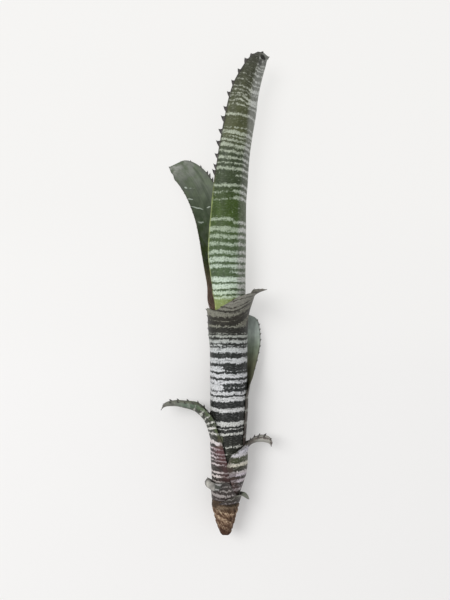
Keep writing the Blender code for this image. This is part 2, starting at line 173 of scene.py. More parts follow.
# Share of the floor's light that it gives off itself, by height along the plant. It keeps
# the plant's shadow pale, and palest beside the tall leaf.
FLOOR_GLOW = {70: 0.18, 115: 0.2, 150: 0.5, 190: 0.55, 240: 0.8}


def smooth(knots, rows, at):
    """Monotone cubic curves through rows of values, which never overshoot them."""
    knots = np.asarray(knots, float)
    rows = np.asarray(rows, float)
    steps = np.diff(knots)
    slopes = np.diff(rows, axis=0) / steps[:, None]
    tangents = np.zeros_like(rows)
    tangents[0] = slopes[0]
    tangents[-1] = slopes[-1]
    before, after = slopes[:-1], slopes[1:]
    agree = before * after > 0.0
    total = np.where(agree, before + after, 1.0)
    tangents[1:-1] = np.where(agree, 2.0 * before * after / total, 0.0)
    at = np.clip(np.asarray(at, float), knots[0], knots[-1])
    cell = np.clip(np.searchsorted(knots, at, side="right") - 1, 0, len(steps) - 1)
    share = ((at - knots[cell]) / steps[cell])[:, None]
    width = steps[cell][:, None]
    return (
        (2 * share**3 - 3 * share**2 + 1) * rows[cell]
        + (share**3 - 2 * share**2 + share) * width * tangents[cell]
        + (3 * share**2 - 2 * share**3) * rows[cell + 1]
        + (share**3 - share**2) * width * tangents[cell + 1]
    )


def tube_radius(height, rank):
    """Outer radius of the sheath of this rank, 0 being the innermost."""
    heights, radii = zip(*INNER_TUBE)
    radii = [(radius,) for radius in radii]
    return float(smooth(heights, radii, [height])[0, 0]) + rank * SHEATH_PITCH


def axis_point(height):
    """Point of the growing axis at a height."""
    heights, shifts = zip(*BASE_BEND)
    return np.array((np.interp(height, heights, shifts), height, 0.0))


def azimuth(degrees):
    """Direction across the axis: 0 is right, 90 is towards the viewer, 180 is left."""
    angle = math.radians(degrees)
    return np.array((math.cos(angle), 0.0, math.sin(angle)))


def unit(vector):
    """The vector at length 1."""
    vector = np.asarray(vector, float)
    return vector / np.linalg.norm(vector)


def across_to(vector, along):
    """The part of a vector that is square to a direction, at length 1."""
    return unit(vector - along * np.dot(vector, along))


def around(height, centre, radius, facing, ends, lean=(0, 0)):
    """Blade station whose arc is given by its centre and by where its margins lie."""
    point = np.array((centre[0], height, centre[1])) + azimuth(facing) * radius
    left = math.radians(ends[0] - facing) * radius
    right = math.radians(facing - ends[1]) * radius
    return point, (lean[0], 1, lean[1]), radius, facing, left, right


def sheath_rows(leaf):
    """Rows of the sheath: point, direction along, outward normal, radius, half widths."""
    outward = azimuth(leaf["facing"])
    stops, left, right = zip(*leaf["sheath"])
    count = int((stops[-1] - stops[0]) / ROW_PITCH) + 2
    rows = []
    for height in np.linspace(stops[0], stops[-1], count):
        radius = tube_radius(height, leaf["rank"])
        rows.append({
            "point": axis_point(height) + outward * radius,
            "along": np.array((0.0, 1.0, 0.0)),
            "outward": outward,
            "radius": radius,
            "left": math.radians(np.interp(height, stops, left)) * radius,
            "right": math.radians(np.interp(height, stops, right)) * radius,
            "at": height,
        })
    return rows


def blade_rows(leaf, last):
    """Rows of the blade, from smooth curves through its stations, down to its tip."""
    final = leaf["blade"][-1]
    stations = [*leaf["blade"], (leaf["tip"], *final[1:4], TIP_WIDTH, TIP_WIDTH)]
    table = [(*last["point"], *last["along"], last["radius"], leaf["facing"],
              last["left"], last["right"])]
    table += [(*point, *unit(lean), *rest) for point, lean, *rest in stations]
    gaps = np.linalg.norm(np.diff(np.array(table)[:, :3], axis=0), axis=1)
    reach = np.concatenate(([0.0], np.cumsum(gaps)))
    count = int(reach[-1] / ROW_PITCH) + 2
    steps = np.linspace(0.0, reach[-1], count + 1)[1:]
    rows = []
    outward = last["outward"]
    turned = leaf["facing"]
    for step, values in zip(steps, smooth(reach, table, steps)):
        along = unit(values[3:6])
        radius, facing, left, right = values[6:]
        twist = Matrix.Rotation(math.radians(turned - facing), 3, Vector(along))
        outward = np.array(twist @ Vector(across_to(outward, along)))
        turned = facing
        rows.append({"point": values[:3], "along": along, "outward": outward,
                     "radius": radius, "left": left, "right": right,
                     "at": last["at"] + step})
    return rows


def settle(points):
    """Lets what would hang below the surface lie flat on it."""
    points[..., 2] = np.maximum(points[..., 2], -FLOOR_DEPTH)
    return points


class LeafSheet:
    """Grid of a leaf's outer and inner surface with what its material and spines need."""

    def __init__(self, leaf):
        rows = sheath_rows(leaf)
        rows += blade_rows(leaf, rows[-1])
        share = np.linspace(0.0, 1.0, COLUMNS + 1)
        shape = (len(rows), COLUMNS + 1)
        self.outer = np.zeros((*shape, 3))
        self.normal = np.zeros((*shape, 3))
        self.across = np.zeros(shape)
        self.at = np.zeros(shape)
        self.edge = np.zeros(shape)
        for index, row in enumerate(rows):
            sideways = np.cross(row["along"], row["outward"])
            arc = -row["left"] + share * (row["left"] + row["right"])
            angle = (arc / row["radius"])[:, None]
            self.normal[index] = sideways * np.sin(angle) + row["outward"] * np.cos(angle)
            centre = row["point"] - row["outward"] * row["radius"]
            self.outer[index] = centre + self.normal[index] * row["radius"]
            self.across[index] = arc
            self.at[index] = row["at"]
            self.edge[index] = np.minimum(arc + row["left"], row["right"] - arc)
        self.outer = settle(self.outer)
        taper = np.clip(self.edge / MARGIN_TAPER, 0.0, 1.0) ** TAPER_POWER
        thickness = MARGIN_THICKNESS + (LEAF_THICKNESS - MARGIN_THICKNESS) * taper
        self.inner = self.outer - self.normal * thickness[..., None]
        self.middle = (self.outer + self.inner) / 2.0

    def margin(self, side, at):
        """Point, outward direction, direction to the tip and normal on one margin."""
        column, inner = (0, 1) if side == "left" else (COLUMNS, COLUMNS - 1)
        heights = self.at[:, column]
        at = min(at, heights[-1] - LAST_SPINE_GAP)
        index = int(np.clip(np.searchsorted(heights, at), 1, len(heights) - 1))
        share = (at - heights[index - 1]) / (heights[index] - heights[index - 1])
        low, high = self.middle[index - 1:index + 1, column]
        forward = unit(high - low)
        out = across_to(self.outer[index, column] - self.outer[index, inner], forward)
        return low + (high - low) * share, out, forward, self.normal[index, column]


def show(name, data):
    """A new object in the scene."""
    shown = bpy.data.objects.new(name, data)
    bpy.context.scene.collection.objects.link(shown)
    return shown


class MeshParts:
    """Vertices and faces collected for one object, with its place attribute."""

    def __init__(self):
        self.points = []
        self.places = []
        self.faces = []
        self.slots = []

    def add(self, points, places, *groups):
        """Points with their places, and groups of faces, each with its material slot."""
        start = len(self.points)
        self.points += [tuple(point) for point in points]
        self.places += [tuple(place) for place in places]
        for faces, slot in groups:
            self.faces += [tuple(start + corner for corner in face) for face in faces]
            self.slots += [slot] * len(faces)

    def build(self, name, materials):
        """The object, in the scene, in the row frame."""
        mesh = bpy.data.meshes.new(name)
        points = np.array(self.points) * MM + np.array(AXIS)
        mesh.from_pydata([tuple(point) for point in points], [], self.faces)
        for material in materials:
            mesh.materials.append(material)
        mesh.polygons.foreach_set("material_index", self.slots)
        place = mesh.attributes.new("place", "FLOAT_VECTOR", "POINT")
        place.data.foreach_set("vector", np.array(self.places, np.float32).ravel())
        mesh.validate()
        mesh.shade_smooth()
        return show(name, mesh)


OUTER_SLOT, INNER_SLOT, SPINE_SLOT = range(3)


def add_sheet(parts, sheet):
    """Closed skin of a leaf: outer face, inner face and the rounded rim that joins them."""
    rows, columns = sheet.at.shape
    place = np.stack((sheet.across, sheet.at, sheet.edge), axis=-1)
    rim = [(0, column) for column in range(columns - 1, -1, -1)]
    rim += [(row, 0) for row in range(1, rows)]
    rim += [(rows - 1, column) for column in range(1, columns)]
    rim += [(row, columns - 1) for row in range(rows - 2, 0, -1)]
    bulge = []
    for row, column in rim:
        beside = 1 if column == 0 else columns - 2
        out = sheet.middle[row, column] - sheet.middle[row, beside]
        reach = RIM_BULGE if column in (0, columns - 1) else 0.0
        length = max(np.linalg.norm(out), 1e-6)
        bulge.append(sheet.middle[row, column] + out / length * reach)
    rim_place = [place[spot] for spot in rim]
    points = (*sheet.outer.reshape(-1, 3), *sheet.inner.reshape(-1, 3),
              *settle(np.array(bulge)))
    places = (*place.reshape(-1, 3), *place.reshape(-1, 3), *rim_place)
    corners = np.arange(rows * columns).reshape(rows, columns)
    inward = corners.size
    quads = np.stack((corners[:-1, :-1], corners[:-1, 1:], corners[1:, 1:], corners[1:, :-1]),
                     axis=-1).reshape(-1, 4)
    edge = []
    for index, spot in enumerate(rim):
        after = (index + 1) % len(rim)
        a, b = (row * columns + column for row, column in (spot, rim[after]))
        ring_a, ring_b = 2 * inward + index, 2 * inward + after
        edge += [(a, b, ring_b, ring_a), (ring_a, ring_b, inward + b, inward + a)]
    parts.add(points, places, (quads.tolist(), OUTER_SLOT),
              ((quads[:, ::-1] + inward).tolist(), INNER_SLOT), (edge, OUTER_SLOT))


def tube_faces(rings, sides):
    """Quads between rings of points that have the same number of sides."""
    faces = []
    for start in range(0, (rings - 1) * sides, sides):
        for side in range(sides):
            a, b = start + side, start + (side + 1) % sides
            faces.append((a, b, b + sides, a + sides))
    return faces


def add_spine(parts, root, out, forward, normal, length, base, thickness, hook, place):
    """Hooked, flattened spine that is sunk into the margin and bends towards the tip."""
    points = []
    for share in np.arange(SPINE_RINGS) / SPINE_RINGS:
        rise = length * share * (1.0 - SPINE_BEND * share) - SPINE_SINK
        centre = root + out * rise + forward * hook * length * share**HOOK_POWER
        wide = base * (1.0 - share) ** WIDTH_POWER + POINT_WIDTH
        thick = thickness * (1.0 - share) ** THICKNESS_POWER + POINT_THICKNESS
        for angle in np.arange(SPINE_SIDES) * 2.0 * math.pi / SPINE_SIDES:
            points.append(centre + forward * wide * math.cos(angle)
                          + normal * thick * math.sin(angle))
    rise = length * (1.0 - SPINE_BEND) - SPINE_SINK
    points.append(root + out * rise + forward * hook * length)
    last = (SPINE_RINGS - 1) * SPINE_SIDES
    faces = tube_faces(SPINE_RINGS, SPINE_SIDES) + [tuple(reversed(range(SPINE_SIDES)))]
    faces += [(last + side, last + (side + 1) % SPINE_SIDES, last + SPINE_SIDES)
              for side in range(SPINE_SIDES)]
    if np.dot(np.cross(forward, normal), out) < 0.0:
        faces = [face[::-1] for face in faces]
    shares = np.append(np.repeat(np.arange(SPINE_RINGS) / SPINE_RINGS, SPINE_SIDES), 1.0)
    parts.add(settle(np.array(points)), [(*place, -share) for share in shares],
              (faces, SPINE_SLOT))


def build_leaf(leaf, materials):
    """A leaf of the frame again, finer, with its rim, its spines and its mucro."""
    sheet = LeafSheet(leaf)
    parts = MeshParts()
    add_sheet(parts, sheet)
    draw = np.random.default_rng(leaf["rank"] + 1)
    reach = leaf.get("small_spines", SMALL_SPINES_REACH)
    sizes = {"left": leaf["spine"], "right": leaf.get("right_spine", leaf["spine"])}
    for side, size in sizes.items():
        for at in leaf[side + "_spines"]:
            point, out, forward, normal = sheet.margin(side, at)
            column = 0 if side == "left" else COLUMNS
            near_tip = np.clip((sheet.at[-1, column] - at) / reach, LEAST_SPINE, 1.0)
            length = size * near_tip * draw.uniform(*SPINE_SIZES)
            out = unit(out + normal * leaf.get("flare", 0.0))
            hook = draw.uniform(*SPINE_HOOKS)
            add_spine(parts, point, out, forward, normal, length, length * SPINE_BASE_SHARE,
                      SPINE_THICKNESS, hook, (sheet.across[0, column], at))
    before, tip = sheet.middle[[-4, -1], COLUMNS // 2]
    ahead = unit(tip - before)
    normal = across_to(sheet.normal[-1, COLUMNS // 2], ahead)
    add_spine(parts, tip, ahead, np.cross(normal, ahead), normal, leaf["mucro"],
              *MUCRO_SHAPE, (0.0, sheet.at[-1, 0]))
    piece = parts.build(leaf["name"] + "_fine", materials)
    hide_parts(leaf["name"])
    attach(piece, "root")


def scale_share(turn_round, height):
    """1 at the torn upper edge of an old scale's remains, fading to 0 away below it."""
    share = 0.0
    for start, slope, middle, half in STEM_SCALES:
        turn = (turn_round - middle + 180.0) % 360.0 - 180.0
        torn = sum(size * math.sin(turn * rate + start * shift)
                   for size, rate, shift in TORN_WAVES)
        below = start + slope * turn / 90.0 + torn - height
        if below > 0.0 and abs(turn) < half:
            side = min(1.0, (half - abs(turn)) / SCALE_SIDE_FADE)
            share = max(share, side * math.exp(-below / SCALE_FADE))
    return share


def build_stem(leaves, materials):
    """The frame's stem again, finer: worn, fibrous, and wrapped in remains of old scales."""
    outline = list(STEM_OUTLINE)
    for leaf in sorted(leaves, key=lambda leaf: -leaf["rank"]):
        seat = leaf["sheath"][0][0]
        outline.append((seat, tube_radius(seat, leaf["rank"]) - LEAF_THICKNESS - SEAT_GAP))
    outline += list(STEM_CORE_TOP)
    heights, radii = zip(*outline)
    bare_end = STEM_OUTLINE[-1][0]
    rows = np.concatenate((np.arange(0.0, bare_end, STEM_ROW_PITCH),
                           [height for height in heights if height >= bare_end]))
    draw = np.random.default_rng(STEM_DRAWS)
    degrees = np.arange(STEM_SIDES) * 360.0 / STEM_SIDES
    angles = np.radians(degrees)
    ribs = sum(draw.uniform(*RIB_HEIGHTS) / (1.0 + wave / 30.0)
               * np.sin(wave * angles + draw.uniform(0.0, 6.3))
               for wave in RIB_WAVES)
    wander = sum(size * np.sin(turns * angles + start) for size, turns, start in WANDER_WAVES)
    points = []
    places = []
    for height in rows:
        bare = float(np.clip((bare_end - height) / 2.0, 0.0, 1.0))
        lift = np.array([scale_share(turn, height) for turn in degrees]) * bare
        ring = np.interp(height + wander * bare, heights, radii)
        ring = ring + bare * ribs * min(1.0, height / 3.0 + 0.2) + lift * SCALE_LIFT
        centre = axis_point(height)[0]
        for angle, radius, share in zip(angles, ring, lift):
            points.append((centre + math.cos(angle) * radius, height, math.sin(angle) * radius))
            places.append((angle * GRAIN_RADIUS, height, share))
    faces = [(a, d, c, b) for a, b, c, d in tube_faces(len(rows), STEM_SIDES)]
    faces.append(tuple(range(STEM_SIDES)))
    faces.append(tuple(reversed(range(len(points) - STEM_SIDES, len(points)))))
    parts = MeshParts()
    parts.add(points, places, (faces, 0))
    piece = parts.build("stem_fine", materials)
    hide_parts("stem")
    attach(piece, "root")


def spaced(start, end, count):
    """Heights of spines, evenly spaced from start to end."""
    return tuple(np.linspace(start, end, count))


# Each leaf below has its rank, 0 being the innermost, its facing, the lengths of its spines
# and mucro, and the heights of its spines. right_spine is the length on the right margin
# where that differs, small_spines is how far from the tip its spines are smaller, and flare
# turns its spines away from the tube. A sheath has stations of height and half turns to the
# left and right, in degrees. A blade has stations of point, lean, radius of its arc, facing,
# and half widths to the left and right.

# The banded leaf that makes the top of the plant, a deep channel to its tip.
TALL = dict(
    name="leaf_8_tall", rank=0, facing=45, spine=4.6, mucro=1.5,
    small_spines=4,
    left_spines=(256.4, 260.3, 267.7, 276.2, 284.6, 293.3, 300.1, 310.4, 318.5, 326.8, 334.5, 339,
                 343.2, 344.3),
    right_spines=spaced(256, 343, 13),
    sheath=((38.5, 150, 150), (60, 140, 140), (134, 100, 110), (158, 94, 98)),
    blade=(
        around(167, (0.1, 0), 12.05, 45, (148, -50)),
        around(176.4, (0, 0), 12.2, 45, (165, -45)),
        around(189, (-1.1, -1), 13.3, 44, (158, -40)),
        around(201.6, (-2, -2), 14.6, 43, (151, -35)),
        around(218, (-2.1, -2.3), 14.8, 40, (143, -35), (0.02, 0)),
        around(236, (-1.7, -2), 14.4, 38, (137, -38), (0.04, 0)),
        around(252, (-0.6, -1.8), 14.4, 36, (133, -40), (0.08, 0)),
        around(270, (1, -1.6), 14, 33, (128, -42), (0.12, 0)),
        around(287.6, (3.6, -1.4), 13.8, 30, (126, -45), (0.15, 0)),
        around(301.7, (6.4, -1), 13.4, 28, (127, -45), (0.18, 0)),
        around(316, (9.4, -0.3), 12.2, 25, (126, -45), (0.22, 0)),
        around(328.5, (14.6, 0.8), 9.8, 22, (127, -45), (0.3, 0)),
        around(335.8, (18.7, 1.8), 7.8, 20, (129, -40), (0.4, 0)),
        around(340.6, (23, 3), 4.9, 18, (132, -35), (0.6, 0)),
    ),
    tip=(28.9, 341.9, 3.4),
)

# The broad plain blade at the upper left, which shows its inner face.
BACK_LEFT = dict(
    name="leaf_7_back_left", rank=1, facing=215, spine=3.2,
    right_spine=1, small_spines=26, mucro=1.2,
    left_spines=(*spaced(192, 248, 12), 252, 255.4, 258, 264, 271, 276),
    right_spines=spaced(166, 276, 26),
    sheath=((36.5, 150, 150), (60, 140, 130), (134, 110, 75), (146, 102, 66)),
    blade=(
        around(160, (-0.4, -0.3), 13.05, 217, (309, 146)),
        around(168.5, (-1.3, 0), 14, 219, (299, 167), (0, -0.02)),
        ((-11.6, 177, -8.3), (0, 1, -0.03), 14.6, 222, 17.5, 12.5),
        ((-11.2, 192, -9), (0, 1, -0.05), 17, 235, 15, 12),
        ((-11.6, 208, -9.8), (-0.12, 1, -0.05), 19, 247, 14, 12),
        ((-13.4, 224, -10.8), (-0.28, 1, -0.07), 20, 256, 14, 12),
        ((-17.6, 239.5, -11.8), (-0.45, 1, -0.07), 20, 262, 13.5, 12),
        ((-24, 253, -12.8), (-0.65, 1, -0.06), 20, 266, 12.5, 11.5),
        ((-31, 263, -14.2), (-0.8, 1, -0.04), 18, 270, 10, 11.5),
        ((-37.6, 267.6, -14.3), (-1, 0.7, 0), 16, 270, 5, 7.5),
    ),
    tip=(-44, 267.2, -13.9),
)

# The sheath that makes most of the tube, opening into a short beak-like blade.
FRONT = dict(
    name="leaf_6_front_collar", rank=2, facing=30, spine=2.1, mucro=0.8,
    flare=1.2,
    left_spines=(142.5, 146.8, 151, 155.5, 160, 166, 171.5, 177, 182),
    right_spines=spaced(157, 186, 8),
    sheath=((34.5, 165, 150), (60, 165, 150), (134, 160, 110)),
    blade=(
        around(142, (-0.35, 0), 14, 30, (188, -76), (0, 0.02)),
        around(150, (-0.5, 0.2), 14.4, 30, (188, -70), (0, 0.08)),
        around(156.5, (-0.3, 0.8), 14.9, 30, (186, -62), (0, 0.14)),
        around(161.2, (0.1, 1.6), 15.6, 30, (181, -54), (0, 0.20)),
        around(162.2, (0.5, 2.2), 15.6, 30, (131, -51), (0, 0.24)),
        ((15.4, 166.3, 12.6), (0.05, 1, 0.35), 15.2, 30, 21.5, 17),
        ((17.2, 170.6, 16.4), (0.35, 1, 0.60), 11, 30, 12.5, 11),
        ((20.2, 173.2, 19.6), (0.8, 1, 0.8), 7, 30, 6, 5.5),
        ((23.4, 174.6, 21.8), (1, 0.7, 0.6), 4, 30, 3, 3),
    ),
    tip=(26, 175.5, 22.8),
)

# The sheath round the back of the tube, with a broad round blade.
BACK_RIGHT = dict(
    name="leaf_5_back_right", rank=3, facing=320, spine=1.7, mucro=0.8,
    left_spines=(118, 124, 129.5, 134.5, 139, 143.4, 146.8, 150.5, 153.8),
    right_spines=spaced(118, 154, 9),
    sheath=((32.5, 130, 150), (52, 72, 130), (70, 72, 120), (80, 72, 112), (90, 72, 92),
            (100, 71, 72)),
    blade=(
        ((11.1, 108, -9.8), (0, 1, -0.03), 15.3, 314, 17, 11.5),
        ((11.5, 116, -11.2), (0, 1, -0.05), 15.6, 302, 12.5, 8),
        ((12.3, 126, -12.6), (0, 1, -0.08), 17.6, 292, 12.5, 8),
        ((12.8, 136, -13.3), (0, 1, -0.06), 18.5, 284, 12.8, 6.5),
        ((13, 145, -13.8), (0, 1, -0.03), 19, 282, 12, 7),
        ((13, 151.5, -14), (0, 1, 0), 18, 282, 10.8, 6),
        ((13.6, 155.2, -14.1), (0, 1, 0), 16, 282, 7.4, 4.9),
    ),
    tip=(15, 157.6, -14),
)

# A sheath on the left with the longer of the two small arching blades.
ARCHING_LEFT = dict(
    name="leaf_4_arching_left", rank=4, facing=182, spine=2.3, mucro=0.9,
    left_spines=(83, 88.2, 92.5, 98.9, 105.2, 109.8, 114),
    right_spines=spaced(86, 114, 7),
    sheath=((30.5, 130, 125), (38.5, 115, 103), (52, 92, 89), (60, 76, 80), (70, 60, 69)),
    blade=(
        ((-15, 75.5, 0.2), (-0.2, 1, 0), 13.4, 182, 12, 15),
        ((-16.8, 80.5, 0.4), (-0.5, 1, 0), 11, 182, 10.5, 13.8),
        ((-20.2, 85.2, 0.6), (-1, 0.9, 0), 8.2, 182, 9.5, 11.5),
        ((-25.4, 89.2, 0.8), (-1, 0.45, 0), 6.3, 182, 8.8, 9.5),
        ((-32, 91.1, 1), (-1, 0.2, 0), 5.4, 182, 7.2, 7.4),
        ((-38.5, 92.3, 1), (-1, 0.05, 0), 4.6, 182, 6, 6),
        ((-43.5, 92.2, 1), (-1, -0.25, 0), 3.8, 182, 4.8, 4.8),
        ((-46.8, 91.2, 1), (-0.8, -0.6, 0), 2.4, 182, 2.4, 2.4),
    ),
    tip=(-48.4, 89.4, 1),
)

# A sheath on the right with the shorter arching blade.
ARCHING_RIGHT = dict(
    name="leaf_3_arching_right", rank=5, facing=0, spine=2.1, mucro=0.9,
    left_spines=(65.6, 67.6, 70.8, 74, 77.4, 80.2),
    right_spines=(66.4, 69, 72, 75, 78.2),
    sheath=((28.5, 70, 130), (38.5, 76, 110), (46, 88, 105), (52, 96, 100), (60, 82, 82)),
    blade=(
        ((14.2, 61.8, 0), (0.3, 1, 0), 12.6, 0, 12.8, 13.5),
        ((15, 63.6, 0.1), (0.8, 1, 0), 8, 0, 8.2, 7.2),
        ((16.9, 65.1, 0.2), (1, 0.75, 0), 5.4, 0, 6.2, 5.1),
        ((19.9, 66.2, 0.3), (1, 0.25, 0), 4.6, 0, 6.5, 5.7),
        ((23.7, 66.6, 0.4), (1, -0.05, 0), 4.4, 0, 6.9, 6.6),
        ((27.2, 66, 0.4), (1, -0.35, 0), 4.2, 0, 6.4, 6.4),
        ((29.6, 64.8, 0.4), (0.8, -1, 0), 3.2, 0, 4, 4),
    ),
    tip=(30.6, 63.2, 0.4),
)

# A short sheath with a small rolled back tip, like an ear, to the left.
EAR = dict(
    name="leaf_2_low_left_ear", rank=6, facing=133, spine=1.2, mucro=0.5,
    left_spines=spaced(39, 46, 4),
    right_spines=spaced(39, 46, 4),
    sheath=((26.5, 140, 95), (30.5, 130, 85), (34.5, 95, 64)),
    blade=(
        ((-9.5, 37.6, 9.4), (-0.2, 1, 0.22), 13, 133, 12.8, 12),
        ((-10.1, 39.3, 10.1), (-0.68, 0.6, 0.73), 17, 133, 8.6, 9.6),
        ((-10.7, 39.6, 10.9), (-0.68, -0.45, 0.73), 24, 133, 7.4, 9),
        ((-11.1, 38.4, 11.5), (-0.25, -1, 0.27), 30, 133, 7, 8.8),
        ((-11.2, 36.8, 11.6), (-0.03, -1, 0.03), 30, 133, 5.6, 7.4),
    ),
    tip=(-11.2, 34.8, 11.6),
)

# The lowest sheath, whose small pointed tip spreads to the lower right.
LOWEST = dict(
    name="leaf_1_lowest_right", rank=7, facing=20, spine=0.7, mucro=0.4,
    left_spines=spaced(31, 35, 3),
    right_spines=spaced(31, 35, 3),
    sheath=((24.5, 100, 100), (26.5, 82, 82), (28.5, 62, 62)),
    blade=(
        ((9.5, 29.4, 4.1), (0.5, 1, 0.18), 11.5, 20, 7.4, 5.4),
        ((10.5, 29.6, 4.4), (0.94, 0, 0.34), 12, 20, 5.8, 3.8),
        ((12, 29, 4.8), (0.94, -0.5, 0.34), 14, 20, 3.8, 2.8),
        ((13.3, 27.9, 5.2), (0.94, -0.7, 0.34), 14, 20, 2.2, 1.8),
    ),
    tip=(14.5, 26.7, 5.4),
)


def tone(red, green, blue):
    """Linear colour, for a shader, of display values from 0 to 255."""
    linear = []
    for value in (red, green, blue):
        share = value / 255.0
        linear.append(share / 12.92 if share <= 0.04045 else ((share + 0.055) / 1.055) ** 2.4)
    return (*linear, 1.0)


class Value:
    """Output of a node of a look, with arithmetic that adds nodes to the look."""

    def __init__(self, look, socket):
        self.look = look
        self.socket = socket

    def __add__(self, other):
        return self.look.math("ADD", self, other)

    def __sub__(self, other):
        return self.look.math("SUBTRACT", self, other)

    def __rsub__(self, other):
        return self.look.math("SUBTRACT", other, self)

    def __mul__(self, other):
        return self.look.math("MULTIPLY", self, other)


class Look:
    """A Principled material and short calls that add nodes to it.

    place has the distance across, the height along and the distance from the margin, in
    millimetres, from the mesh.
    """

    def __init__(self, name, specular=0.5):
        self.material = bpy.data.materials.new(name)
        self.material.use_nodes = True
        self.tree = self.material.node_tree
        self.shader = self.tree.nodes["Principled BSDF"]
        self.shader.inputs["Metallic"].default_value = 0.0
        self.shader.inputs["Specular IOR Level"].default_value = specular
        vector = self.node("Attribute", {}, "Vector", attribute_name="place")
        parts = self.node("SeparateXYZ", {0: vector}).socket.node
        self.place = [Value(self, output) for output in parts.outputs]

    def set(self, socket, value):
        """Links a Value to a socket, or writes a number or a colour into it."""
        if isinstance(value, Value):
            self.tree.links.new(value.socket, socket)
        else:
            socket.default_value = tone(*value) if isinstance(value, tuple) else value

    def node(self, kind, inputs, output=0, **settings):
        """Adds a node with its settings and inputs, and gives one of its outputs."""
        node = self.tree.nodes.new("ShaderNode" + kind)
        for name, setting in settings.items():
            setattr(node, name, setting)
        for socket, value in inputs.items():
            self.set(node.inputs[socket], value)
        return Value(self, node.outputs[output])

    def math(self, operation, first, second, clamp=False):
        """One operation on two values."""
        return self.node("Math", {0: first, 1: second}, operation=operation, use_clamp=clamp)

    def noise(self, step, detail=2.0, seed=0.0, over=None):
        """Noise from 0 to 1 over the place, whose features are about step = (x, y) wide."""
        x, y = over or self.place[:2]
        vector = self.node("CombineXYZ", {0: x * (1.0 / step[0]), 1: y * (1.0 / step[1]),
                                          2: seed})
        return self.node("TexNoise", {"Vector": vector, "Scale": 1.0, "Detail": detail}, "Fac")

    def sway(self, noise, reach):
        """Noise as a distance of about plus or minus reach."""
        return (noise - 0.5) * (reach / NOISE_SPREAD)

    def between(self, value, low, high):
        """0 below low, 1 above high and smooth between them. low may be above high."""
        rising = low < high
        return self.node("MapRange", {
            "Value": value, "From Min": min(low, high), "From Max": max(low, high),
            "To Min": 0.0 if rising else 1.0, "To Max": 1.0 if rising else 0.0,
        }, "Result", interpolation_type="SMOOTHSTEP")

    def steps(self, value, stops):
        """Level or colour read off a line through stops: a dict or pairs of place and level."""
        stops = list(stops.items() if isinstance(stops, dict) else stops)
        low, high = stops[0][0], stops[-1][0]
        share = self.math("MULTIPLY", value - low, 1.0 / (high - low), clamp=True)
        colour = self.node("ValToRGB", {0: share})
        elements = colour.socket.node.color_ramp.elements
        colours = [tone(*level) if isinstance(level, tuple) else (level, level, level, 1.0)
                   for place, level in stops]
        elements[0].color = colours[0]
        elements[1].color = colours[-1]
        for (place, level), shown in list(zip(stops, colours))[1:-1]:
            elements.new((place - low) / (high - low)).color = shown
        return colour

    def distances(self, value, stops):
        """As steps, for levels outside 0 to 1."""
        low, span = min(stops.values()), max(stops.values()) - min(stops.values())
        shares = {place: (level - low) / span for place, level in stops.items()}
        return self.steps(value, shares) * span + low

    def bands(self, at, bands):
        """1 inside the bands and 0 between them: each has a middle, a width and a strength."""
        bands = sorted(bands)
        edges = [(middle - width / 2.0, middle + width / 2.0) for middle, width, level in bands]
        stops = []
        for index, (middle, width, strength) in enumerate(bands):
            low, high = edges[index]
            before = low - edges[index - 1][1] if index else width
            after = edges[index + 1][0] - high if index + 1 < len(bands) else width
            rise, fall = (max(0.05, min(BAND_SOFTNESS, width / 2.2, gap / 2.0))
                          for gap in (before, after))
            stops += [(low - rise, 0.0), (low + rise, strength),
                      (high - fall, strength), (high + fall, 0.0)]
        total = 0.0
        for first in range(0, len(stops), STOPS_A_RAMP):
            total = self.steps(at, stops[first:first + STOPS_A_RAMP]) + total
        return total

    def bend(self, depth, stops, low, high):
        """What to add to the height so that bands are bent across the leaf, near its tip."""
        across, at = self.place[:2]
        return self.steps(across, stops) * self.between(at, low, high) * -depth

    def spots(self, at, spots):
        """1 inside soft ovals, each with its middle, its two half widths and a strength."""
        total = 0.0
        for middle, height, reach, half, strength in spots:
            x = (self.place[0] - middle) * (1.0 / reach)
            y = (at - height) * (1.0 / half)
            total = self.between(x * x + y * y, *SPOT_EDGE) * strength + total
        return total

    def mix(self, factor, first, second):
        """first where the factor is 0 and second where it is 1."""
        return self.node("Mix", {"Factor": factor, 6: first, 7: second}, 2, data_type="RGBA")

    def shade(self, colour, factor):
        """Colour made darker or lighter by a factor round 1."""
        return self.node("VectorMath", {0: colour, "Scale": factor}, operation="SCALE")

    def mottled(self, colour, noise, reach):
        """Colour made darker and lighter by noise."""
        return self.shade(colour, self.sway(noise, reach) + 1.0)

    def finish(self, colour, roughness, height=None, strength=0.3):
        """The material, with its colour, its roughness and its relief."""
        self.set(self.shader.inputs["Base Color"], colour)
        self.set(self.shader.inputs["Roughness"], roughness)
        if height is not None:
            bump = self.node("Bump", {"Strength": strength, "Distance": BUMP_DEPTH * MM,
                                      "Height": height})
            self.set(self.shader.inputs["Normal"], bump)
        return self.material


